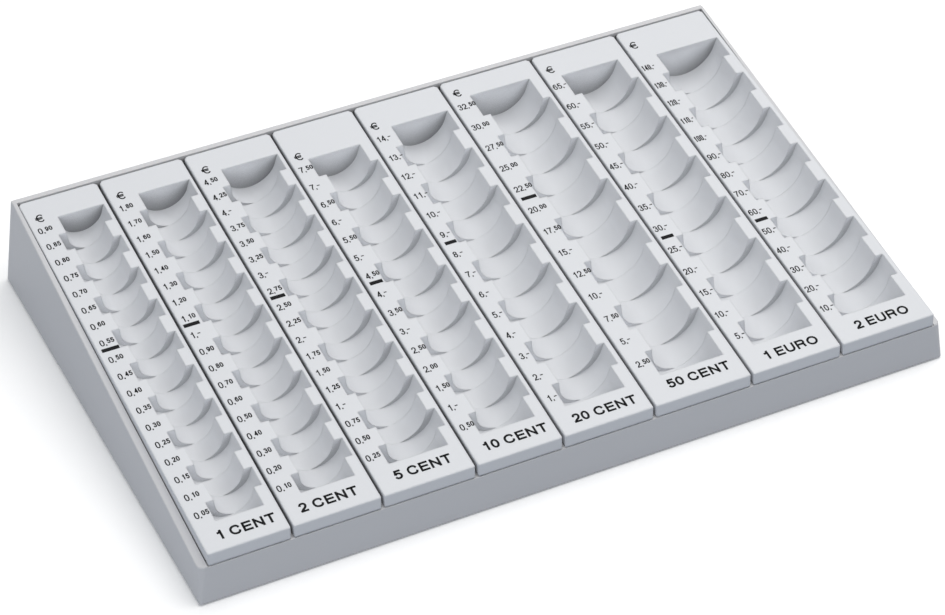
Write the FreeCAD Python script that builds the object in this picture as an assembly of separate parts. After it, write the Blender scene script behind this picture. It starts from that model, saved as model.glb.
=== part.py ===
import FreeCAD, Part
import math
import os
from FreeCAD import Placement, Rotation, Vector

# Coin counting tray: a wedge-shaped tray base that holds eight lift-out coin strips.
# All sizes are millimetres and degrees. The origin is on the ground, in the middle of the
# base's footprint. X runs from the 1 cent strip to the 2 euro strip, Y from front to back.
# "Along" and "off" are measured in the strips' own frame: along the slope from the strips'
# front top edge, and off their top face.

# One entry per strip, left to right: node name, coin diameter, coin thickness, spare length
# in each group, width of the value column, least width of the land right of the troughs.
COINS = [
    ("strip_1_cent", 16.25, 1.67, 0.60, 8.6, 1.6),
    ("strip_2_cent", 18.75, 1.67, 0.60, 8.5, 1.4),
    ("strip_5_cent", 21.25, 1.67, 0.60, 7.8, 1.6),
    ("strip_10_cent", 19.75, 1.93, 0.60, 7.3, 1.7),
    ("strip_20_cent", 22.25, 2.14, 0.60, 6.7, 2.2),
    ("strip_50_cent", 24.25, 2.38, 0.60, 8.7, 1.7),
    ("strip_1_euro", 23.25, 2.33, 0.60, 7.0, 1.9),
    ("strip_2_euro", 25.75, 2.20, 0.13, 7.0, 2.0),
]
COINS_PER_GROUP = 5

# Coin strips
STRIP_SLOPE = 6.35          # slope of the strips' top face
STRIP_LENGTH = 186.3        # along the slope
STRIP_GAP = 1.2             # between two strips at their top faces
FRONT_LAND = 13.1           # top front edge to the first group
BACK_LAND = 10.0            # at least, behind the last group
GROUP_SHIFT = 3.1           # side step between odd and even groups
TROUGH_CLEARANCE = 0.6      # trough radius over coin radius
TROUGH_SINK = 2.7           # top face to the centre of the trough
TROUGH_FLARE = 10.5         # draft of the trough's sides
TROUGH_WALL = 1.4
TROUGH_LIFT = 0.8           # deepest trough's wall over the foot of the skirt
PLATE = 1.8                 # top plate of a strip
SKIRT = 1.6                 # side walls of a strip
SKIRT_DRAFT = 1.0
FRONT_CORNER = 0.4          # upright corners of a strip, at its apron
BACK_CORNER = 1.2
STRIP_EDGE = 0.3            # chamfer round the top face
APRON_DROP = 5.0            # depth of the front apron, which covers the base's front wall

# Base
SIDE_RIM = 1.5              # width of the side rims at the back, where they are highest
BACK_RIM = 3.1              # width of the back rim
BASE_CORNER = 1.0           # upright corners
FRONT_CORNER_TOP = 3.5      # where a front corner, widening upwards, meets the rim
SIDE_DRAFT = 3.8
END_DRAFT = 6.6             # front and back walls
BASE_WALL = 2.4
BASE_FLOOR = 1.8
FLOOR_LIFT = 1.25           # base foot to the floor's underside, below the strips' front edge
STRIP_CLEARANCE = 0.3       # round the set of strips
APRON_CLEARANCE = 0.6       # apron to the base's front wall
FRONT_WALL = 3.0            # at its top
RIM_OVER_BACK = 0.4         # rim over the strips' top face at the back
RIM_UNDER_FRONT = 5.0       # rim under the strips' top face at the front
RIM_FALL = 18.0             # outward slope of the rim
RIM_EDGE = 0.3              # chamfer of the rim's outer edge
DIVIDER_HEIGHT = 3.0        # low ribs on the floor between the strips
DIVIDER_FIT = 0.3           # on each side of a divider
UNDER_RIB = 1.8
UNDER_RIB_LIFT = 1.0        # rib foot over the base's foot
UNDER_RIBS = 3              # from front to back, evenly spaced
CROSS_RIB_INSET = 76.0      # footprint's back edge to the rib that runs across

# Foot pads
PAD_SIDE = 12.0
PAD_THICKNESS = 2.0
PAD_STANDOFF = 0.8          # base foot over the ground
PAD_FIT = 0.3               # round a pad in its recess
PAD_SEAT_WALL = 2.0
PAD_INSET_SIDE = 23.1       # footprint's edge to the pad's middle
PAD_INSET_FRONT = 24.0
PAD_INSET_BACK = 20.0

FAR = 400.0                 # longer than anything here, for cutting tools

SLOPE = math.radians(STRIP_SLOPE)
FLARE = math.radians(TROUGH_FLARE)


def trough_radius(coin):
    return coin[1] / 2 + TROUGH_CLEARANCE


def trough_half_width(radius, top):
    """Half of a trough's width at the given height."""
    return radius / math.cos(FLARE) + (top + TROUGH_SINK) * math.tan(FLARE)


def strip_width(coin):
    """Value column, both rows of troughs and the land on their right."""
    return coin[4] + 2 * trough_half_width(trough_radius(coin), 0) + GROUP_SHIFT + coin[5]


STRIP_HEIGHT = TROUGH_SINK + max(trough_radius(coin) for coin in COINS) + TROUGH_WALL + TROUGH_LIFT
SKIRT_LEAN = STRIP_HEIGHT * math.tan(math.radians(SKIRT_DRAFT))
SET_WIDTH = sum(strip_width(coin) for coin in COINS) + STRIP_GAP * (len(COINS) - 1)
APRON_REACH = APRON_DROP * math.tan(math.radians(END_DRAFT + STRIP_SLOPE))
POCKET_FRONT = FRONT_WALL - APRON_REACH
POCKET_BACK = STRIP_LENGTH + STRIP_CLEARANCE
POCKET_HALF = SET_WIDTH / 2 + STRIP_CLEARANCE
SKIRT_FRONT = POCKET_FRONT + STRIP_CLEARANCE
FLOOR_UNDER = -STRIP_HEIGHT - BASE_FLOOR
DIVIDER = STRIP_GAP + 2 * ((STRIP_HEIGHT - DIVIDER_HEIGHT) * math.tan(math.radians(SKIRT_DRAFT)) - DIVIDER_FIT)

# Heights over the base's foot, then the footprint that the drafted walls come down to.
FRONT_EDGE_HEIGHT = FLOOR_LIFT - FLOOR_UNDER * math.cos(SLOPE)
BACK_HEIGHT = FRONT_EDGE_HEIGHT + POCKET_BACK * math.sin(SLOPE) + RIM_OVER_BACK * math.cos(SLOPE)
BASE_WIDTH = 2 * (POCKET_HALF + SIDE_RIM + BACK_HEIGHT * math.tan(math.radians(SIDE_DRAFT)))
BASE_DEPTH = (BACK_RIM + POCKET_BACK * math.cos(SLOPE) - RIM_OVER_BACK * math.sin(SLOPE)
              + (FRONT_EDGE_HEIGHT + BACK_HEIGHT) * math.tan(math.radians(END_DRAFT)))
FRONT_EDGE_Y = -BASE_DEPTH / 2 + FRONT_EDGE_HEIGHT * math.tan(math.radians(END_DRAFT))
FRONT_EDGE_Z = PAD_STANDOFF + FRONT_EDGE_HEIGHT


def box(x0, x1, y0, y1, z0, z1):
    return Part.makeBox(x1 - x0, y1 - y0, z1 - z0, Vector(x0, y0, z0))


def prism(points, direction):
    """Polygon through the points, drawn out along the direction."""
    return Part.Face(Part.makePolygon(points + points[:1])).extrude(direction)


def on_slope(shape, x=0.0):
    """Take a shape from the strips' own frame to the tray's."""
    moved = shape.copy()
    place = Placement(Vector(x, FRONT_EDGE_Y, FRONT_EDGE_Z), Rotation(Vector(1, 0, 0), STRIP_SLOPE))
    moved.Placement = place.multiply(moved.Placement)
    return moved


def half_space(point, rotation):
    """All that lies above a plane through the point, as a block to cut with."""
    block = box(-FAR, FAR, -FAR, FAR, 0, FAR)
    block.Placement = Placement(point, rotation)
    return block


# ---- coin strips ----

def group_pitch(coin):
    """Length of one group: five coins on edge, and a little air to pick them out."""
    return COINS_PER_GROUP * coin[2] + coin[3]


def group_count(coin):
    """As many whole groups as the strip's length has room for."""
    return int((STRIP_LENGTH - FRONT_LAND - BACK_LAND) // group_pitch(coin))


def trough(radius, middle, y0, y1):
    """What one group takes out: round below to fit the coins, with straight flared sides."""
    side, rise = radius * math.cos(FLARE), radius * math.sin(FLARE)
    half, top, low = trough_half_width(radius, PLATE), PLATE, -TROUGH_SINK
    outline = [
        Part.makeLine(Vector(middle - half, y0, top), Vector(middle - side, y0, low - rise)),
        Part.Arc(Vector(middle - side, y0, low - rise), Vector(middle, y0, low - radius),
                 Vector(middle + side, y0, low - rise)).toShape(),
        Part.makeLine(Vector(middle + side, y0, low - rise), Vector(middle + half, y0, top)),
        Part.makeLine(Vector(middle + half, y0, top), Vector(middle - half, y0, top)),
    ]
    return Part.Face(Part.Wire(outline)).extrude(Vector(0, y1 - y0, 0))


def trough_hull(radius, left, right, y0, y1):
    """Flat-sided wall round both rows of troughs, each flat tangent to the wall's radius."""
    wall = radius + TROUGH_WALL
    normals = [TROUGH_FLARE, 45.0, 90.0]
    points = [Vector(right + trough_half_width(wall, 0), y0, 0)]
    for first, second in zip(normals, normals[1:]):
        middle, half = math.radians((first + second) / 2), math.radians((second - first) / 2)
        reach = wall / math.cos(half)
        points.append(Vector(right + reach * math.cos(middle), y0, -TROUGH_SINK - reach * math.sin(middle)))
    mirrored = [Vector(left + right - p.x, p.y, p.z) for p in reversed(points)]
    return prism(points + mirrored, Vector(0, y1 - y0, 0))


def strip_blank(width):
    """Outer form of a strip: drafted skirts and a leaning apron over the base's front wall."""
    side = prism([
        Vector(0, 0, 0), Vector(0, -APRON_REACH, -APRON_DROP), Vector(0, SKIRT_FRONT, -APRON_DROP),
        Vector(0, SKIRT_FRONT, -STRIP_HEIGHT), Vector(0, STRIP_LENGTH - SKIRT_LEAN, -STRIP_HEIGHT),
        Vector(0, STRIP_LENGTH, 0)], Vector(width, 0, 0))
    front = prism([
        Vector(0, -FAR, 0), Vector(SKIRT_LEAN, -FAR, -STRIP_HEIGHT),
        Vector(width - SKIRT_LEAN, -FAR, -STRIP_HEIGHT), Vector(width, -FAR, 0)], Vector(0, 2 * FAR, 0))
    blank = side.common(front)
    corners = [e for e in blank.Edges if e.BoundBox.ZLength > APRON_DROP * 0.9
               and e.BoundBox.XLength < SKIRT_LEAN * 1.1 and e.BoundBox.ZMax > -PLATE]
    front_corners = [e for e in corners if e.CenterOfMass.y < STRIP_LENGTH / 2]
    blank = blank.makeChamfer(FRONT_CORNER, front_corners)
    back_corners = [e for e in blank.Edges if e.BoundBox.ZLength > STRIP_HEIGHT * 0.9
                    and e.BoundBox.XLength < SKIRT_LEAN * 1.1 and e.CenterOfMass.y > STRIP_LENGTH / 2]
    blank = blank.makeChamfer(BACK_CORNER, back_corners)
    return blank.makeChamfer(STRIP_EDGE, [e for e in blank.Edges if e.BoundBox.ZMin > -1e-4])


def strip_hollow(width, radius, left, right, trough_end):
    """What is taken out from below a strip: all but its plate, skirts and trough hull."""
    inset = SKIRT_LEAN + SKIRT
    hollow = box(inset, width - inset, SKIRT_FRONT + SKIRT, STRIP_LENGTH - inset, -STRIP_HEIGHT - 1, -PLATE)
    return hollow.cut(trough_hull(radius, left, right, FRONT_LAND - TROUGH_WALL, trough_end + TROUGH_WALL))


def make_strip(coin):
    """Coin strip in its own frame, with its groups stepping left and right in turn."""
    radius, width = trough_radius(coin), strip_width(coin)
    pitch, groups = group_pitch(coin), group_count(coin)
    left = coin[4] + trough_half_width(radius, 0)
    right = left + GROUP_SHIFT
    strip = strip_blank(width)
    strip = strip.cut(strip_hollow(width, radius, left, right, FRONT_LAND + groups * pitch))
    return strip.cut([trough(radius, (left, right)[i % 2], FRONT_LAND + pitch * i, FRONT_LAND + pitch * (i + 1))
                      for i in range(groups)])


def strip_starts():
    """X of each strip's left edge."""
    starts = [-SET_WIDTH / 2]
    for coin in COINS[:-1]:
        starts.append(starts[-1] + strip_width(coin) + STRIP_GAP)
    return starts


# ---- base ----

def drafted_block(inset):
    """The base's outline as a tall block with drafted walls, drawn in by an inset all round."""
    height = BACK_HEIGHT + STRIP_HEIGHT
    low, high = PAD_STANDOFF, PAD_STANDOFF + height

    def trapezoid(half, draft, point):
        top = half - height * math.tan(math.radians(draft))
        return [point(-half, low), point(half, low), point(top, high), point(-top, high)]

    half_x, half_y = BASE_WIDTH / 2 - inset, BASE_DEPTH / 2 - inset
    front = prism(trapezoid(half_x, SIDE_DRAFT, lambda a, z: Vector(a, -half_y, z)), Vector(0, 2 * half_y, 0))
    side = prism(trapezoid(half_y, END_DRAFT, lambda a, z: Vector(-half_x, a, z)), Vector(2 * half_x, 0, 0))
    return front.common(side)


def back_upright_edges(block):
    """The block's corner edges at the back."""
    return [edge for edge in block.Edges if edge.BoundBox.ZMin < PAD_STANDOFF + 1e-3
            and edge.BoundBox.ZLength > BASE_WALL and edge.CenterOfMass.y > 0]


def front_corner_cutter(side):
    """What rounds a front corner: a cone, touching both walls, that widens from the foot up."""
    side_lean, end_lean = math.radians(SIDE_DRAFT), math.radians(END_DRAFT)
    growth = (FRONT_CORNER_TOP - BASE_CORNER) / (FRONT_EDGE_HEIGHT - RIM_UNDER_FRONT)
    corner = Vector(-side * math.tan(side_lean), math.tan(end_lean), 1)
    apex = Vector(side * BASE_WIDTH / 2, -BASE_DEPTH / 2, PAD_STANDOFF) - corner * (BASE_CORNER / growth)
    axis = corner + Vector(-side / math.cos(side_lean), 1 / math.cos(end_lean), 0) * growth
    spread = math.asin(growth / axis.Length)
    axis.normalize()
    walls = [Vector(side * math.cos(side_lean), 0, math.sin(side_lean)),
             Vector(0, -math.cos(end_lean), math.sin(end_lean))]
    touch = [axis + wall * math.sin(spread) for wall in walls]
    length = 3 * BACK_HEIGHT
    ends = [apex + direction * (length / direction.z)
            for direction in (touch[0], touch[1], corner + Vector(side, -1, 0) * growth)]
    faces = [Part.Face(Part.makePolygon(loop + loop[:1])) for loop in
             ([apex, ends[0], ends[1]], [apex, ends[1], ends[2]], [apex, ends[2], ends[0]], ends)]
    wedge = Part.Solid(Part.Shell(faces))
    return wedge.cut(Part.makeCone(0, 2 * length * math.tan(spread), 2 * length, apex, axis))


def rim_cutters():
    """What lies over the sloping rims on the left, right and back walls, in the strips' frame."""
    down = math.degrees(math.atan2(RIM_OVER_BACK + RIM_UNDER_FRONT, POCKET_BACK))
    along = Rotation(Vector(1, 0, 0), down)
    right = half_space(Vector(POCKET_HALF, POCKET_BACK, RIM_OVER_BACK),
                       along.multiply(Rotation(Vector(0, 1, 0), RIM_FALL)))
    left = half_space(Vector(-POCKET_HALF, POCKET_BACK, RIM_OVER_BACK),
                      along.multiply(Rotation(Vector(0, 1, 0), -RIM_FALL)))
    back = half_space(Vector(0, POCKET_BACK, RIM_OVER_BACK), Rotation(Vector(1, 0, 0), -RIM_FALL))
    return [left, right, back]


def rim_outer_edges(block):
    """Edges where the rims' slopes meet the outer walls: each belongs to just one slope."""
    slopes = [face for face in block.Faces if face.normalAt(0, 0).z > 0.8]
    edges = [edge for face in slopes for edge in face.Edges]
    return [edge for edge in edges if sum(edge.isSame(other) for other in edges) == 1]


def strip_pocket():
    """Room for the set of strips in their own frame, with low dividers left between them."""
    pocket = box(-POCKET_HALF, POCKET_HALF, POCKET_FRONT, POCKET_BACK, -STRIP_HEIGHT, FAR)
    over_front_wall = box(-POCKET_HALF, POCKET_HALF, -FAR, POCKET_BACK, -APRON_DROP - APRON_CLEARANCE, FAR)
    dividers = [box(x - (STRIP_GAP + DIVIDER) / 2, x - (STRIP_GAP - DIVIDER) / 2, POCKET_FRONT, POCKET_BACK,
                    -STRIP_HEIGHT, DIVIDER_HEIGHT - STRIP_HEIGHT) for x in strip_starts()[1:]]
    return pocket.cut(dividers).fuse(over_front_wall)


def pad_places():
    """Name, X and Y of each foot pad."""
    side = BASE_WIDTH / 2 - PAD_INSET_SIDE
    front, back = -BASE_DEPTH / 2 + PAD_INSET_FRONT, BASE_DEPTH / 2 - PAD_INSET_BACK
    return [("foot_pad_front_left", -side, front), ("foot_pad_front_right", side, front),
            ("foot_pad_back_left", -side, back), ("foot_pad_back_right", side, back)]


def under_rib_places():
    """X of each rib that runs from front to back."""
    return [BASE_WIDTH * (i / (UNDER_RIBS + 1) - 0.5) for i in range(1, UNDER_RIBS + 1)]


def square(x, y, side, z0, z1):
    return box(x - side / 2, x + side / 2, y - side / 2, y + side / 2, z0, z1)


def base_hollow():
    """Open underside, following the floor's slope, around ribs and the seats of the pads."""
    foot = PAD_STANDOFF + UNDER_RIB_LIFT
    recess_side = PAD_SIDE + 2 * PAD_FIT
    seats = [square(x, y, recess_side + 2 * PAD_SEAT_WALL, PAD_STANDOFF, FAR) for _, x, y in pad_places()]
    ribs = [box(x - UNDER_RIB / 2, x + UNDER_RIB / 2, -FAR, FAR, foot, FAR) for x in under_rib_places()]
    cross = BASE_DEPTH / 2 - CROSS_RIB_INSET
    ribs.append(box(-FAR, FAR, cross - UNDER_RIB / 2, cross + UNDER_RIB / 2, foot, FAR))
    over_floor = on_slope(half_space(Vector(0, 0, FLOOR_UNDER), Rotation()))
    hollow = drafted_block(BASE_WALL).cut([over_floor] + seats + ribs)
    recesses = [square(x, y, recess_side, PAD_STANDOFF, PAD_THICKNESS) for _, x, y in pad_places()]
    return hollow.fuse(recesses)


def make_base():
    """Tray base: drafted walls with sloping rims round a pocket, and a ribbed underside."""
    base = drafted_block(0).cut([on_slope(cutter) for cutter in rim_cutters()]
                                + [front_corner_cutter(side) for side in (-1, 1)])
    base = base.makeChamfer(RIM_EDGE, rim_outer_edges(base))
    base = base.makeFillet(BASE_CORNER, back_upright_edges(base))
    return base.cut([on_slope(strip_pocket()), base_hollow()])


def make_pad(x, y):
    return square(x, y, PAD_SIDE, 0, PAD_THICKNESS)


def main():
    os.makedirs("parts", exist_ok=True)
    for coin, x in zip(COINS, strip_starts()):
        on_slope(make_strip(coin), x).exportStep(f"parts/{coin[0]}.step")
    for name, x, y in pad_places():
        make_pad(x, y).exportStep(f"parts/{name}.step")
    make_base().exportStep("parts/tray_base.step")


if __name__ == "__main__":
    main()
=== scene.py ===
import math
from collections import namedtuple

import bmesh
import bpy
from bpy.props import FloatProperty, FloatVectorProperty, PointerProperty
from bpy.types import Operator, Panel, PropertyGroup
from mathutils import Matrix, Vector


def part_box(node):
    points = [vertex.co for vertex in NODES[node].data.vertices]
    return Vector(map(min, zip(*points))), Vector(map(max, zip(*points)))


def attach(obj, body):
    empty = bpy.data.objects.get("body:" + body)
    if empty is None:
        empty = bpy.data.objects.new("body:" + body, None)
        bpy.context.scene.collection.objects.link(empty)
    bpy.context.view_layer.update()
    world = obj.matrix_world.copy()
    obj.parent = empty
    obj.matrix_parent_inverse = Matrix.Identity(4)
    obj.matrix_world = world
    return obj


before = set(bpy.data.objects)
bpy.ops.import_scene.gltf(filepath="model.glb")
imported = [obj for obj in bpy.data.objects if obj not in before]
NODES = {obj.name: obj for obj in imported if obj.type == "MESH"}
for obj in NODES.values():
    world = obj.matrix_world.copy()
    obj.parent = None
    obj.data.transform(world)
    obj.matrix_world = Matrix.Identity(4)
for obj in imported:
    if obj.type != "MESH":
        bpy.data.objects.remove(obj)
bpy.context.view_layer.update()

bl_info = {
    "name": "Coin Counting Tray",
    "version": (1, 0, 0),
    "blender": (4, 5, 0),
    "location": "View3D > Sidebar > Coin Tray",
    "description": "Finishes and printing of a sloping coin tray with eight lift-out strips",
    "category": "Object",
}

MM = 0.001

# ---- sizes of the strips, in millimetres ----

STRIP_SLOPE = math.radians(6.35)
STRIP_LENGTH = 186.3
STRIP_EDGE = 0.3            # chamfer round a strip's top
SAME_HEIGHT = 0.01          # corners this near to a strip's highest point are its top back corners
FRONT_LAND = 13.1           # top front edge to the first group
COINS_PER_GROUP = 5

# Per strip: coin's name, its worth in cents, groups, length of a group, where the value column
# starts for one, two and three whole digits, its sideways drift and its lag behind the groups'
# middles at the first and the last row, the sums in cents that keep their two zeros, then the places
# of the bar (left end, right end, along), the middle of the euro sign and the name's lower left
# corner, all from the strip's left edge and its front top edge.
Strip = namedtuple("Strip", "title worth groups pitch lefts drift lags long_sums bar sign name")
STRIPS = {
    "strip_1_cent": Strip("1 CENT", 1, 18, 8.95, (2.5,), -0.55, (0.10, -0.20), (),
                          (1.5, 8.4, 103.3), (4.95, 176.0), (6.1, 4.45)),
    "strip_2_cent": Strip("2 CENT", 2, 18, 8.95, (1.2,), 0.45, (0.15, -0.55), (),
                          (0.9, 7.35, 103.3), (4.95, 175.8), (4.95, 4.4)),
    "strip_5_cent": Strip("5 CENT", 5, 18, 8.95, (1.15,), 0.70, (0.70, 0.25), (),
                          (1.1, 7.0, 103.9), (5.25, 176.4), (7.15, 5.05)),
    "strip_10_cent": Strip("10 CENT", 10, 15, 10.25, (1.6,), -0.10, (0.20, 0.50), (200,),
                           (1.4, 6.75, 96.6), (4.25, 169.5), (5.05, 4.8)),
    "strip_20_cent": Strip("20 CENT", 20, 14, 11.30, (2.0, 1.4), -0.25, (-0.05, 0.70), (),
                           (1.5, 6.3, 104.8), (3.65, 173.9), (6.3, 4.25)),
    "strip_50_cent": Strip("50 CENT", 50, 13, 12.50, (2.6, 1.95), -0.75, (1.60, 1.40), (2000, 2500, 3000),
                           (1.7, 8.15, 115.15), (4.5, 178.8), (8.8, 5.75)),
    "strip_1_euro": Strip("1 EURO", 100, 13, 12.25, (2.7, 0.6), 0.0, (0.05, 0.90), (),
                          (1.2, 6.45, 75.55), (4.2, 177.1), (7.7, 4.25)),
    "strip_2_euro": Strip("2 EURO", 200, 14, 11.13, (2.6, 0.65, 0.65), -0.20, (0.30, 0.10), (),
                          (0.9, 6.35, 69.8), (3.8, 177.3), (9.0, 4.5)),
}

# ---- lettering ----

CENTS_SIZE = 0.76           # small raised digits, of the whole ones
VALUE_WEIGHT = 0.15         # a stroke's width, of the letter's height
SIGN_WEIGHT = 0.135
NAME_WEIGHT = 0.21
VALUE_SPREAD = (0.90, 0.90, 0.60)   # how wide the signs are set, for one, two and three whole digits
NAME_SPREAD = 1.19
VALUE_GAP = 0.12            # between two signs, of their height
NAME_GAP = 0.17
NAME_SPACE = 0.40           # between two words, of the letters' height
DIGIT_GAP = 0.55            # the gap after a digit, of the one after another sign
DIGITS = "0123456789"
CURVE_STEPS = 5             # along a curved stroke, from one point to the next

# Single-line letterforms, each as (width over height, strokes). A stroke runs through points in a unit
# box. It is straight with its ends drawn out ("line") or as they are ("butt"), smooth ("curve"), or
# smooth and closed ("ring").
LETTERS = {
    "0": (0.62, [("ring", (0, .5), (.5, 1), (1, .5), (.5, 0))]),
    "1": (0.62, [("line", (.70, 0), (.70, 1)),
                 ("curve", (.70, .97), (.52, .82), (.10, .75))]),
    "2": (0.62, [("curve", (.02, .70), (.16, .93), (.5, 1), (.86, .91), (.96, .70), (.78, .44),
                  (.34, .22), (.05, 0)),
                 ("line", (.05, 0), (1, 0))]),
    "3": (0.62, [("curve", (.04, .74), (.20, .95), (.5, 1), (.82, .92), (.92, .76), (.78, .58), (.42, .53)),
                 ("curve", (.42, .53), (.82, .47), (1, .27), (.84, .06), (.48, 0), (.14, .07), (0, .28))]),
    "4": (0.62, [("line", (.76, 0), (.76, 1)),
                 ("butt", (.74, 1.02), (0, .26)),
                 ("line", (0, .25), (1, .25))]),
    "5": (0.62, [("line", (.22, 1), (.92, 1)),
                 ("butt", (.20, 1.02), (.06, .46)),
                 ("curve", (.06, .46), (.24, .60), (.52, .65), (.86, .56), (1, .34), (.86, .09),
                  (.48, 0), (.14, .07), (0, .25))]),
    "6": (0.62, [("ring", (0, .32), (.5, .63), (1, .32), (.5, 0)),
                 ("curve", (.94, .80), (.78, .96), (.54, 1), (.16, .84), (0, .50), (0, .32))]),
    "7": (0.62, [("line", (0, 1), (.98, 1)),
                 ("curve", (.98, 1), (.62, .62), (.40, .30), (.32, -.04))]),
    "8": (0.62, [("ring", (.06, .77), (.5, 1), (.94, .77), (.5, .54)),
                 ("ring", (0, .27), (.5, .54), (1, .27), (.5, 0))]),
    "9": (0.62, [("ring", (0, .68), (.5, 1), (1, .68), (.5, .37)),
                 ("curve", (.06, .20), (.22, .04), (.46, 0), (.84, .16), (1, .50), (1, .68))]),
    "C": (0.82, [("curve", (.98, .68), (.83, .93), (.51, 1), (.14, .86), (0, .5), (.14, .14), (.51, 0),
                  (.85, .08), (1, .34))]),
    "E": (0.70, [("line", (0, 0), (0, 1)),
                 ("line", (0, 1), (1, 1)),
                 ("line", (0, .52), (.92, .52)),
                 ("line", (0, 0), (1, 0))]),
    "N": (0.76, [("line", (0, 0), (0, 1)),
                 ("line", (1, 0), (1, 1)),
                 ("butt", (0, 1), (1, 0))]),
    "T": (0.72, [("line", (.5, 0), (.5, 1)),
                 ("line", (0, 1), (1, 1))]),
    "U": (0.76, [("line", (0, .34), (0, 1)),
                 ("line", (1, .34), (1, 1)),
                 ("curve", (0, .34), (.13, .09), (.5, 0), (.87, .09), (1, .34))]),
    "R": (0.78, [("line", (0, 0), (0, 1)),
                 ("line", (0, 1), (.62, 1)),
                 ("line", (0, .49), (.62, .49)),
                 ("curve", (.62, 1), (.90, .93), (.96, .75), (.90, .56), (.62, .49)),
                 ("curve", (.70, .48), (.90, .38), (.93, .16), (1, 0))]),
    "O": (0.88, [("ring", (0, .5), (.5, 1), (1, .5), (.5, 0))]),
    ",": (0.20, [("butt", (.62, .09), (.30, -.17)),
                 ("line", (.5, .01), (.5, .01))]),
    "-": (0.40, [("line", (0, .60), (1, .60))]),
    "euro": (0.80, [("curve", (1, .84), (.82, .97), (.60, 1), (.28, .86), (.14, .5), (.28, .14), (.60, 0),
                     (.84, .04), (1, .18)),
                    ("line", (-.02, .60), (.86, .60)),
                    ("line", (-.04, .41), (.80, .41))]),
}

# ---- patterns, tones, painted light and painted shade of the finishes ----

# Each noise with its scale over a metre, and the range of it that shows.
FLOW_MARKS = dict(scale=14.0, detail=3.0)
FLOW_SHOWS = (0.25, 0.75)
DUST = dict(scale=420.0, detail=4.0, roughness=0.7)
DUST_SHOWS = (0.60, 0.80)
THIN_SPOTS = dict(scale=3200.0, detail=2.0, roughness=0.6)
THIN_SPOTS_SHOW = (0.35, 0.75)
SCUFFS = dict(scale=900.0, detail=5.0, roughness=0.7)
SCUFFS_SHOW = (0.55, 0.72)
SPARK_GRAIN = dict(scale=2600.0, detail=2.0, roughness=0.65)
PITS = dict(scale=3500.0, detail=2.0, roughness=0.6)
PIT_DEPTH = 0.04            # millimetres

# A tone is a multiple of the plastic's own colour, and covers it by so much where it shows fully.
Tone = namedtuple("Tone", "shade cover")
FLOW_SHADES = (0.985, 1.012)    # between flow marks and in them
DUSTY = Tone(0.86, 0.10)
# edges lighter: partly rubbed wear, partly a painted highlight along the rounded edges
RUBBED_AND_HIGHLIT = Tone(1.07, 0.45)
# painted light: the open part of the walls that face the front made paler
PAINTED_WALL_LIGHT = Tone(1.34, 1.0)
# painted shade on the steps' right halves
PAINTED_STEP_SHADE = Tone(0.15, 0.68)
FIRST_STEP_COVER = 0.26     # the first groups' steps, in place of the step's own cover of painted shade
PAINTED_FOOT_SHADE = Tone(0.15, 0.62)     # painted shade at the foot of the last walls
# painted shade in the gaps between parts
PAINTED_GAP_SHADE = Tone(0.10, 0.9)

# Where a tone begins to show and where it shows fully: by the turn of a rounded edge, by how squarely
# a wall faces the front, and by how shut in a spot is.
EDGE_TURNS = (0.01, 0.22)
END_WALL_FACES = (0.5, 0.9)
END_WALL_SHUT_IN = (0.15, 0.40)
STEP_SHUT_IN = (0.57, 0.94)
FOOT_SHUT_IN = (0.40, 0.72)
GAP_SHUT_IN = (0.86, 0.98)

# The same by place, in millimetres: along Y for the first groups and the last walls. The gaps' painted
# shade goes the other way, and fades between these depths under the strips' tops.
FIRST_GROUPS = (-64.0, -70.0)
LAST_WALLS = (66.0, 72.5)
GAP_ENDS = (8.0, 14.0)

SHUT_IN_REACH = 20.0        # how near other surfaces shut a spot in, in millimetres
SHUT_IN_SAMPLES = 8
EDGE_SAMPLES = 6
TO_THE_FRONT = (0.0, -1.0, 0.0)
LEAN_TO_THE_RIGHT = (0.8, 0.0, 0.0)     # added to a normal of length 1, so that the steps' painted shade falls as from the right

# Roughnesses, with what flow marks, thin ink and scuffs add to them and rubbed edges take off.
FLOW_DULLS = 0.06
EDGE_SHINES = 0.10
INK_ROUGHNESS = 0.50
THIN_INK_DULLS = 0.12
RUBBER_ROUGHNESS = 0.80
SCUFF_DULLS = 0.10

THIN_INK = (0.018, 0.018, 0.020, 1.0)
THIN_INK_COVER = 0.5
SCUFFED_RUBBER = (0.10, 0.10, 0.105, 1.0)
SCUFF_COVER = 0.6

# ---- stage, in metres ----

FLOOR_HALF = 4.0            # from its middle to each edge
FLOOR_DROP = 0.1 * MM       # the floor lies this much under the pads, so that the two don't flicker
FLOOR_FADE = (0.35, 1.1)    # from the tray's middle: shaded up to here, plain white from there
KEY_PLACE = (0.32, 0.03, 1.10)
KEY_SIZE = 1.1
KEY_COLOUR = (1.0, 0.99, 0.975)
FILL_PLACE = (-1.1, -0.8, 0.75)
FILL_SIZE = 0.8
FILL_COLOUR = (0.93, 0.96, 1.0)
SKY_COLOUR = (0.96, 0.98, 1.0, 1.0)
WHITE = (1.0, 1.0, 1.0, 1.0)
SENSOR_WIDTH = 36.0         # millimetres
CAMERA_PLACE = (-0.44096, -0.85430, 0.85315)
CAMERA_AIM = (0.34464802, 0.6661762, -0.66138265)
CAMERA_ROLL = math.radians(1.549)
CAMERA_REACH = (0.05, 20.0)     # nearest and farthest that it sees


# ---- places ----

def in_metres(sizes):
    """Sizes in millimetres as the frame's metres."""
    return [size * MM for size in sizes]


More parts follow.
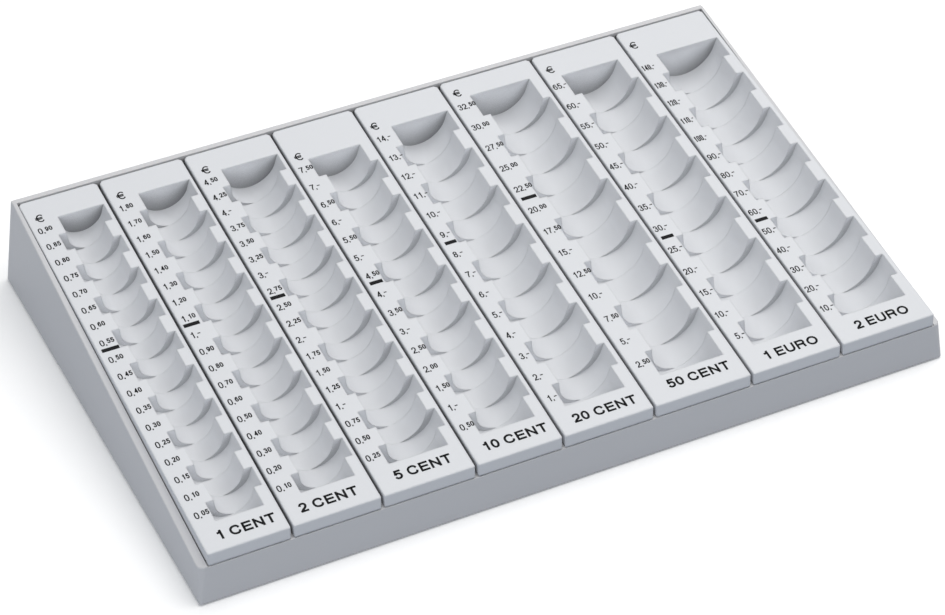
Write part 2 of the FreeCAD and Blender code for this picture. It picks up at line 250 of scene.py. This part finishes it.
def on_strip(node):
    """From a strip's own frame, its top front left corner with Y along the slope, to the tray's."""
    low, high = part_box(node)
    back = max(v.co.y for v in NODES[node].data.vertices if v.co.z > high.z - SAME_HEIGHT * MM)
    length = (STRIP_LENGTH - STRIP_EDGE) * MM
    front = Vector((low.x, back - length * math.cos(STRIP_SLOPE), high.z - length * math.sin(STRIP_SLOPE)))
    return Matrix.Translation(front) @ Matrix.Rotation(STRIP_SLOPE, 4, "X")


def top_level():
    """Height of the strips' top plane over the middle of the tray's footprint."""
    front = on_strip("strip_1_cent").translation
    return front.z - front.y * math.tan(STRIP_SLOPE)


# ---- shader helpers ----

class Value:
    """A number that changes over a surface: sums written with it add their Math nodes."""

    def __init__(self, finish, socket):
        self.finish, self.socket = finish, socket

    def _sum(self, operation, first, second):
        return self.finish.value("ShaderNodeMath", {"operation": operation}, {0: first, 1: second})

    def __add__(self, other):
        return self._sum("ADD", self, other)

    def __radd__(self, other):
        return self._sum("ADD", other, self)

    def __sub__(self, other):
        return self._sum("SUBTRACT", self, other)

    def __rsub__(self, other):
        return self._sum("SUBTRACT", other, self)

    def __mul__(self, other):
        return self._sum("MULTIPLY", self, other)

    def __rmul__(self, other):
        return self._sum("MULTIPLY", other, self)

    def clipped(self, low, high):
        """This value on a scale that is 0 at low and 1 at high."""
        return self.finish.value("ShaderNodeMapRange", {"clamp": True}, {0: self, 1: low, 2: high})


class Finish:
    """A node material, built up from an empty tree."""

    def __init__(self, name, block=None):
        self.block = block or bpy.data.materials.new(name)
        self.block.use_nodes = True
        self.tree = self.block.node_tree
        self.tree.nodes.clear()

    def node(self, kind, settings=None, inputs=None):
        node = self.tree.nodes.new(kind)
        for name, setting in (settings or {}).items():
            setattr(node, name, setting)
        for name, given in (inputs or {}).items():
            if isinstance(given, Value):
                given = given.socket
            if isinstance(given, bpy.types.NodeSocket):
                self.tree.links.new(given, node.inputs[name])
            else:
                node.inputs[name].default_value = given
        return node

    def value(self, kind, settings=None, inputs=None, output=0):
        return Value(self, self.node(kind, settings, inputs).outputs[output])

    def vector(self, operation, *vectors):
        """A sum on vectors that gives a vector."""
        inputs = dict(enumerate(vectors))
        return self.node("ShaderNodeVectorMath", {"operation": operation}, inputs).outputs[0]

    def number(self, operation, *vectors):
        """A sum on vectors that gives a number."""
        inputs = dict(enumerate(vectors))
        return self.value("ShaderNodeVectorMath", {"operation": operation}, inputs, "Value")

    def blend(self, factor, first, second):
        """A colour between two."""
        return self.node("ShaderNodeMix", {"data_type": "RGBA"}, {0: factor, 6: first, 7: second}).outputs[2]

    def lay(self, tone, where, skin, colour):
        """The skin with a tone of the plastic's colour laid over it where the mask shows."""
        return self.blend(where * tone.cover, skin, shade(colour, tone.shade))

    def place(self):
        return self.node("ShaderNodeTexCoord").outputs["Object"]

    def along(self, axis):
        """The place along one axis."""
        return self.value("ShaderNodeSeparateXYZ", None, {0: self.place()}, axis)

    def normal(self):
        return self.node("ShaderNodeNewGeometry").outputs["Normal"]

    def noise(self, scale, detail, roughness=0.5):
        return self.value("ShaderNodeTexNoise", None,
                          {"Vector": self.place(), "Scale": scale, "Detail": detail, "Roughness": roughness})

    def shut_in(self, **towards):
        """0 in the open, 1 where near surfaces close a spot in."""
        inputs = {"Distance": SHUT_IN_REACH * MM, **towards}
        return 1.0 - self.value("ShaderNodeAmbientOcclusion", {"samples": SHUT_IN_SAMPLES}, inputs, "AO")

    def bump(self, **inputs):
        return self.node("ShaderNodeBump", None, inputs).outputs[0]

    def output(self, surface):
        self.node("ShaderNodeOutputMaterial", None, {"Surface": surface})
        return self.block


def shade(colour, factor=1.0):
    """The colour made darker or lighter, as four numbers."""
    return tuple(min(1.0, c * factor) for c in colour[:3]) + (1.0,)


# ---- finishes ----

def moulded_plastic(name, colour, roughness, grain, softness, has_troughs=False):
    """Satin moulded plastic: spark grain, flow marks, dust, worn edges with a painted highlight, painted gap
    shade.
    """
    finish = Finish(name)
    rounded = finish.node("ShaderNodeBevel", {"samples": EDGE_SAMPLES}, {"Radius": softness}).outputs[0]
    edge = (1.0 - finish.number("DOT_PRODUCT", rounded, finish.normal())).clipped(*EDGE_TURNS)
    flow = finish.noise(**FLOW_MARKS).clipped(*FLOW_SHOWS)
    dust = finish.noise(**DUST).clipped(*DUST_SHOWS)
    shut_in = finish.shut_in()
    dark, pale = FLOW_SHADES
    skin = finish.blend(flow, shade(colour, dark), shade(colour, pale))
    skin = finish.lay(DUSTY, dust, skin, colour)
    # Edges lighter: partly wear, partly a painted highlight.
    skin = finish.lay(RUBBED_AND_HIGHLIT, edge, skin, colour)
    if has_troughs:
        skin = end_wall_tones(finish, shut_in, skin, colour)
    # Painted shade in the gaps between parts, faded out deep under the strips' tops.
    depth = finish.along("Y") * math.tan(STRIP_SLOPE) - finish.along("Z") + top_level()
    gap = shut_in.clipped(*GAP_SHUT_IN) * (1.0 - depth.clipped(*in_metres(GAP_ENDS)))
    skin = finish.lay(PAINTED_GAP_SHADE, gap, skin, colour)
    spark = finish.noise(**SPARK_GRAIN)
    shader = finish.node("ShaderNodeBsdfPrincipled", None, {
        "Base Color": skin, "Roughness": roughness - EDGE_SHINES * edge + FLOW_DULLS * flow,
        "Normal": finish.bump(Strength=0.35, Distance=grain, Height=spark, Normal=rounded),
        "IOR": 1.46, "Specular IOR Level": 0.45})
    return finish.output(shader.outputs[0])


def end_wall_tones(finish, shut_in, skin, colour):
    """The troughs' walls that face the front: painted light makes their open part pale, and painted shade
    darkens the steps' right halves and the last walls' foot.

    A right half is told by how shut in it is towards a normal that leans to the right, so its painted
    shade falls as from the right, and it is less dark in the first groups."""
    facing = finish.number("DOT_PRODUCT", finish.node("ShaderNodeTexCoord").outputs["Normal"], TO_THE_FRONT)
    end_wall = facing.clipped(*END_WALL_FACES) * shut_in.clipped(*END_WALL_SHUT_IN)
    # Painted light: the open part of the front-facing walls made paler.
    skin = finish.lay(PAINTED_WALL_LIGHT, end_wall, skin, colour)
    # Painted shade on the steps' right halves.
    leaning = finish.vector("NORMALIZE", finish.vector("ADD", finish.normal(), LEAN_TO_THE_RIGHT))
    step = end_wall * finish.shut_in(Normal=leaning).clipped(*STEP_SHUT_IN)
    first_group = finish.along("Y").clipped(*in_metres(FIRST_GROUPS))
    cover = PAINTED_STEP_SHADE.cover + (FIRST_STEP_COVER - PAINTED_STEP_SHADE.cover) * first_group
    skin = finish.blend(step * cover, skin, shade(colour, PAINTED_STEP_SHADE.shade))
    # Painted shade in the crease at the foot of the last walls.
    last_wall = finish.along("Y").clipped(*in_metres(LAST_WALLS))
    return finish.lay(PAINTED_FOOT_SHADE, end_wall * last_wall * shut_in.clipped(*FOOT_SHUT_IN), skin, colour)


def black_ink(name, colour):
    """Pad-printed ink: dense black, a little duller and thinner where it lies on the grain."""
    finish = Finish(name)
    thin = finish.noise(**THIN_SPOTS).clipped(*THIN_SPOTS_SHOW)
    shader = finish.node("ShaderNodeBsdfPrincipled", None, {
        "Base Color": finish.blend(thin * THIN_INK_COVER, shade(colour), THIN_INK),
        "Roughness": INK_ROUGHNESS + THIN_INK_DULLS * thin, "IOR": 1.45, "Specular IOR Level": 0.1})
    return finish.output(shader.outputs[0])


def soft_rubber(name, colour):
    """Matt foot pad: dark, finely pitted, with pale scuffs."""
    finish = Finish(name)
    scuff = finish.noise(**SCUFFS).clipped(*SCUFFS_SHOW)
    shader = finish.node("ShaderNodeBsdfPrincipled", None, {
        "Base Color": finish.blend(scuff * SCUFF_COVER, shade(colour), SCUFFED_RUBBER),
        "Roughness": RUBBER_ROUGHNESS + SCUFF_DULLS * scuff, "IOR": 1.5,
        "Normal": finish.bump(Strength=0.6, Distance=PIT_DEPTH * MM, Height=finish.noise(**PITS))})
    return finish.output(shader.outputs[0])


# ---- printing ----

class Lettering:
    """Flat strokes gathered in one curve per stroke width, drawn as ribbons on the strip's top."""

    def __init__(self):
        self.curves = {}

    def stroke(self, width, points, closed=False, smooth=False):
        curve = self.curves.get(width)
        if curve is None:
            curve = self.curves[width] = bpy.data.curves.new("strokes", "CURVE")
            curve.dimensions, curve.twist_mode, curve.extrude = "3D", "Z_UP", width / 2
            curve.resolution_u = CURVE_STEPS
        line = curve.splines.new("BEZIER")
        line.bezier_points.add(len(points) - 1)
        for knot, point in zip(line.bezier_points, points):
            knot.co = (*point, 0.0)
            knot.tilt = math.pi / 2
            knot.handle_left_type = knot.handle_right_type = "AUTO" if smooth else "VECTOR"
        line.use_cyclic_u = closed
        if not smooth:
            line.resolution_u = 1

    def glyph(self, sign, x, y, height, width, weight):
        """One letter with its lower left corner at x, y."""
        inner_x, inner_y = width - weight, height - weight
        for kind, *points in LETTERS[sign][1]:
            placed = [(x + weight / 2 + u * inner_x, y + weight / 2 + v * inner_y) for u, v in points]
            if kind == "line":
                first, last = Vector(placed[0]), Vector(placed[-1])
                along = (last - first).normalized() if first != last else Vector((0, 1))
                placed = [first - along * weight / 2, last + along * weight / 2]
            self.stroke(weight, placed, closed=kind == "ring", smooth=kind in ("ring", "curve"))

    def word(self, signs, x, y, height, weight, spread, gap, cents_from=None):
        """A row of letters from x on; those from cents_from on are small and raised."""
        for i, sign in enumerate(signs):
            small = cents_from is not None and i >= cents_from
            size = height * (CENTS_SIZE if small else 1.0)
            if sign == " ":
                x += height * NAME_SPACE
                continue
            wide = LETTERS[sign][0] * size * spread
            self.glyph(sign, x, y + height - size, size, wide, weight)
            between = gap * DIGIT_GAP if sign in DIGITS else gap
            x += wide + between * size

    def mesh(self, place):
        """All strokes as one flat mesh in its place, facing up."""
        ink = bmesh.new()
        for curve in self.curves.values():
            holder = bpy.data.objects.new("strokes", curve)
            bpy.context.scene.collection.objects.link(holder)
            bpy.context.view_layer.update()
            ribbon = bpy.data.meshes.new_from_object(holder)
            ink.from_mesh(ribbon)
            bpy.data.objects.remove(holder)
            bpy.data.meshes.remove(ribbon)
            bpy.data.curves.remove(curve)
        for face in ink.faces:
            face.normal_update()
        bmesh.ops.reverse_faces(ink, faces=[face for face in ink.faces if face.normal.z < 0])
        bmesh.ops.transform(ink, matrix=place, verts=ink.verts)
        made = bpy.data.meshes.new("ink")
        ink.to_mesh(made)
        ink.free()
        return made


def value_text(cents, long_form):
    """A group's running total, and from which sign on it is small and raised."""
    whole, rest = divmod(cents, 100)
    if rest or long_form:
        return f"{whole},{rest:02d}", len(str(whole)) + 1
    return f"{whole},-", None


def print_values(print_on, strip, height):
    """The column of running totals, one beside each group."""
    weight = height * VALUE_WEIGHT
    for row in range(strip.groups):
        cents = COINS_PER_GROUP * strip.worth * (row + 1)
        text, cents_from = value_text(cents, cents in strip.long_sums)
        digits = len(str(cents // 100))
        back = row / (strip.groups - 1)
        left = (strip.lefts[digits - 1] + back * strip.drift) * MM
        lag = strip.lags[0] + back * (strip.lags[1] - strip.lags[0])
        middle = (FRONT_LAND + (row + 0.5) * strip.pitch + lag) * MM
        print_on.word(text, left, middle - height / 2, height, weight,
                      VALUE_SPREAD[digits - 1], VALUE_GAP, cents_from)


def print_strip(node, sizes):
    """Everything that is printed on one strip, as one mesh."""
    strip = STRIPS[node]
    print_on = Lettering()
    print_values(print_on, strip, sizes.value_height)
    left, right, along = in_metres(strip.bar)
    print_on.stroke(sizes.bar_width, [(left, along), (right, along)])
    x, y = in_metres(strip.sign)
    sign = sizes.sign_height
    wide = sign * LETTERS["euro"][0]
    print_on.glyph("euro", x - wide / 2, y - sign / 2, sign, wide, sign * SIGN_WEIGHT)
    x, y = in_metres(strip.name)
    name = sizes.name_height
    print_on.word(strip.title, x, y, name, name * NAME_WEIGHT, NAME_SPREAD, NAME_GAP)
    return print_on.mesh(on_strip(node) @ Matrix.Translation((0, 0, sizes.ink_lift)))


# ---- settings ----

COLOUR = dict(subtype="COLOR", size=3, min=0, max=1)
LENGTH = dict(unit="LENGTH", subtype="DISTANCE")


class CoinTrayFinishes(PropertyGroup):
    strip_colour: FloatVectorProperty(
        name="Strip plastic", description="Pale grey plastic of the coin strips",
        default=(0.665, 0.676, 0.70), **COLOUR)
    base_colour: FloatVectorProperty(
        name="Base plastic", description="Grey plastic of the tray base",
        default=(0.613, 0.612, 0.625), **COLOUR)
    pad_colour: FloatVectorProperty(
        name="Foot pads", description="Rubber of the foot pads",
        default=(0.035, 0.035, 0.037), **COLOUR)
    ink_colour: FloatVectorProperty(
        name="Ink", description="Printing on the strips",
        default=(0.006, 0.006, 0.007), **COLOUR)
    roughness: FloatProperty(
        name="Satin", description="Roughness of the moulded plastic",
        min=0.1, max=0.9, default=0.46)
    grain: FloatProperty(
        name="Grain depth", description="Depth of the fine moulded grain",
        min=0, max=0.0002, precision=6, default=0.00002, **LENGTH)
    strip_edge: FloatProperty(
        name="Strip edge radius", description="How far the strips' edges are rounded off",
        min=0, max=0.002, precision=5, default=0.0009, **LENGTH)
    base_edge: FloatProperty(
        name="Base edge radius", description="How far the base's edges are rounded off",
        min=0, max=0.002, precision=5, default=0.0002, **LENGTH)


class CoinTrayPrinting(PropertyGroup):
    value_height: FloatProperty(
        name="Value height", description="Height of the running totals beside the troughs",
        min=0.001, max=0.005, precision=5, default=0.00315, **LENGTH)
    name_height: FloatProperty(
        name="Name height", description="Height of the coin's name at the front",
        min=0.002, max=0.008, precision=5, default=0.0043, **LENGTH)
    sign_height: FloatProperty(
        name="Euro sign", description="Height of the sign over each value column",
        min=0.002, max=0.008, precision=5, default=0.0041, **LENGTH)
    bar_width: FloatProperty(
        name="Bar width", description="Thickness of the bar that marks a full roll",
        min=0.0005, max=0.003, precision=5, default=0.00175, **LENGTH)
    ink_lift: FloatProperty(
        name="Ink thickness", description="Height of the printing over the plastic",
        min=0.00001, max=0.0002, precision=6, default=0.00003, **LENGTH)


class CoinTrayStage(PropertyGroup):
    floor_colour: FloatVectorProperty(
        name="Floor", description="Colour of the floor as it lights the tray",
        default=(0.27, 0.32, 0.40), **COLOUR)
    floor_lift: FloatProperty(
        name="Floor lift", description="How much whiter than its light the floor is shown",
        min=0, max=0.5, default=0.10)
    key_power: FloatProperty(
        name="Key light", description="Large soft lamp overhead, a little to the right",
        unit="POWER", min=0, max=200, default=9.4)
    fill_power: FloatProperty(
        name="Fill light", description="Soft lamp at the front left",
        unit="POWER", min=0, max=200, default=4.7)
    sky: FloatProperty(
        name="Room light", description="Even light from all round",
        min=0, max=2, default=0.44)
    lens: FloatProperty(
        name="Lens", description="Focal length on a 36 mm sensor",
        unit="CAMERA", min=20, max=300, default=125.36)


# ---- operators ----

class TRAY_OT_base(Operator):
    """Finish the tray base in grey moulded plastic"""
    bl_idname = "coin_tray.base"
    bl_label = "Tray base"

    def execute(self, context):
        look = context.scene.coin_tray_finishes
        plastic = moulded_plastic("base_plastic_finish", look.base_colour, look.roughness, look.grain,
                                  look.base_edge)
        assign("tray_base", plastic)
        return {"FINISHED"}


class TRAY_OT_strips(Operator):
    """Finish the eight coin strips in pale moulded plastic"""
    bl_idname = "coin_tray.strips"
    bl_label = "Coin strips"

    def execute(self, context):
        look = context.scene.coin_tray_finishes
        plastic = moulded_plastic("strip_plastic_finish", look.strip_colour, look.roughness, look.grain,
                                  look.strip_edge, has_troughs=True)
        for node in STRIPS:
            assign(node, plastic)
        return {"FINISHED"}


class TRAY_OT_pads(Operator):
    """Finish the foot pads in dark rubber"""
    bl_idname = "coin_tray.pads"
    bl_label = "Foot pads"

    def execute(self, context):
        rubber = soft_rubber("pad_rubber_finish", context.scene.coin_tray_finishes.pad_colour)
        for node in NODES:
            if node.startswith("foot_pad"):
                assign(node, rubber)
        return {"FINISHED"}


class TRAY_OT_printing(Operator):
    """Print the running totals, euro signs, roll bars and coin names on the strips"""
    bl_idname = "coin_tray.printing"
    bl_label = "Printing"

    def execute(self, context):
        ink = black_ink("strip_ink_finish", context.scene.coin_tray_finishes.ink_colour)
        for node in STRIPS:
            mesh = print_strip(node, context.scene.coin_tray_printing)
            mesh.materials.append(ink)
            piece = bpy.data.objects.new(node + "_printing", mesh)
            context.scene.collection.objects.link(piece)
            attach(piece, node)
        return {"FINISHED"}


class TRAY_OT_stage(Operator):
    """Set up the floor, the lamps, the room light and the camera"""
    bl_idname = "coin_tray.stage"
    bl_label = "Stage"

    def execute(self, context):
        setting = context.scene.coin_tray_stage
        make_floor(setting)
        make_room(context.scene, setting)
        make_lamp("key_lamp", KEY_PLACE, KEY_SIZE, setting.key_power, KEY_COLOUR)
        make_lamp("fill_lamp", FILL_PLACE, FILL_SIZE, setting.fill_power, FILL_COLOUR)
        make_camera(context.scene, setting)
        context.scene.view_settings.view_transform = "Standard"
        return {"FINISHED"}


class TRAY_PT_panel(Panel):
    """Sidebar panel with every step of the tray"""
    bl_label = "Coin Tray"
    bl_idname = "TRAY_PT_panel"
    bl_space_type = "VIEW_3D"
    bl_region_type = "UI"
    bl_category = "Coin Tray"

    def draw(self, context):
        for group in SETTINGS:
            settings = getattr(context.scene, group)
            box = self.layout.box()
            for name in settings.__annotations__:
                box.prop(settings, name)
        for step in STEPS:
            self.layout.operator(step.bl_idname)


STEPS = (TRAY_OT_base, TRAY_OT_strips, TRAY_OT_pads, TRAY_OT_printing, TRAY_OT_stage)
SETTINGS = {
    "coin_tray_finishes": CoinTrayFinishes,
    "coin_tray_printing": CoinTrayPrinting,
    "coin_tray_stage": CoinTrayStage,
}


def assign(node, material):
    """Give a node from the model its finish."""
    materials = NODES[node].data.materials
    for i in range(len(materials)):
        materials[i] = material


# ---- stage ----

def make_floor(setting):
    """A plain white floor that keeps the tray's shadow, and lights the tray in its own colour."""
    plate = bmesh.new()
    bmesh.ops.create_grid(plate, x_segments=1, y_segments=1, size=FLOOR_HALF,
                          matrix=Matrix.Translation((0, 0, -FLOOR_DROP)))
    mesh = bpy.data.meshes.new("floor")
    plate.to_mesh(mesh)
    plate.free()
    floor = bpy.data.objects.new("floor", mesh)
    bpy.context.scene.collection.objects.link(floor)
    finish = Finish("floor_finish")
    lit = finish.node("ShaderNodeBsdfDiffuse", None, {"Color": shade(setting.floor_colour)})
    white = finish.node("ShaderNodeBsdfDiffuse", None, {"Color": WHITE})
    glow = finish.node("ShaderNodeEmission", None, {"Color": WHITE, "Strength": setting.floor_lift})
    near = finish.node("ShaderNodeAddShader", None, {0: white.outputs[0], 1: glow.outputs[0]})
    backdrop = finish.node("ShaderNodeEmission", None, {"Color": WHITE, "Strength": 1.0})
    away = finish.number("LENGTH", finish.place()).clipped(*FLOOR_FADE)
    shown = finish.node("ShaderNodeMixShader", None, {0: away, 1: near.outputs[0], 2: backdrop.outputs[0]})
    mixed = finish.node("ShaderNodeMixShader", None,
                        {0: seen_directly(finish), 1: lit.outputs[0], 2: shown.outputs[0]})
    mesh.materials.append(finish.output(mixed.outputs[0]))


def seen_directly(finish):
    """1 for what the camera, a gloss or a clear material sees, 0 for what lights the tray."""
    path = finish.node("ShaderNodeLightPath")
    total = Value(finish, path.outputs["Is Camera Ray"]) + Value(finish, path.outputs["Is Glossy Ray"])
    return (total + Value(finish, path.outputs["Is Transmission Ray"])).clipped(0.0, 1.0)


def make_room(scene, setting):
    """Even light, with a white room where it is seen."""
    scene.world = scene.world or bpy.data.worlds.new("room")
    finish = Finish("room", scene.world)
    lit = finish.node("ShaderNodeBackground", None, {"Color": SKY_COLOUR, "Strength": setting.sky})
    white = finish.node("ShaderNodeBackground", None, {"Color": WHITE, "Strength": 1.0})
    mixed = finish.node("ShaderNodeMixShader", None,
                        {0: seen_directly(finish), 1: lit.outputs[0], 2: white.outputs[0]})
    finish.node("ShaderNodeOutputWorld", None, {"Surface": mixed.outputs[0]})


def make_lamp(name, place, size, power, colour):
    """A square soft lamp aimed at the tray."""
    lamp = bpy.data.lights.new(name, "AREA")
    lamp.shape, lamp.size, lamp.energy, lamp.color = "SQUARE", size, power, colour
    holder = bpy.data.objects.new(name, lamp)
    bpy.context.scene.collection.objects.link(holder)
    holder.location = place
    holder.rotation_mode = "QUATERNION"
    holder.rotation_quaternion = (-Vector(place)).to_track_quat("-Z", "Y")


def make_camera(scene, setting):
    """Long lens from the front left, above."""
    lens = bpy.data.cameras.new("camera")
    lens.sensor_width, lens.lens = SENSOR_WIDTH, setting.lens
    lens.clip_start, lens.clip_end = CAMERA_REACH
    camera = bpy.data.objects.new("camera", lens)
    scene.collection.objects.link(camera)
    camera.location = CAMERA_PLACE
    camera.rotation_mode = "QUATERNION"
    aim = Vector(CAMERA_AIM).to_track_quat("-Z", "Y")
    camera.rotation_quaternion = aim @ Matrix.Rotation(CAMERA_ROLL, 3, "Z").to_quaternion()
    scene.camera = camera


# ---- add-on ----

def register():
    for cls in (*SETTINGS.values(), *STEPS, TRAY_PT_panel):
        bpy.utils.register_class(cls)
    for name, cls in SETTINGS.items():
        setattr(bpy.types.Scene, name, PointerProperty(type=cls))


def unregister():
    for name in SETTINGS:
        delattr(bpy.types.Scene, name)
    for cls in (TRAY_PT_panel, *reversed(STEPS), *reversed(SETTINGS.values())):
        bpy.utils.unregister_class(cls)


def main():
    register()
    bpy.ops.coin_tray.base()
    bpy.ops.coin_tray.strips()
    bpy.ops.coin_tray.pads()
    bpy.ops.coin_tray.printing()
    bpy.ops.coin_tray.stage()


if __name__ == "__main__":
    main()
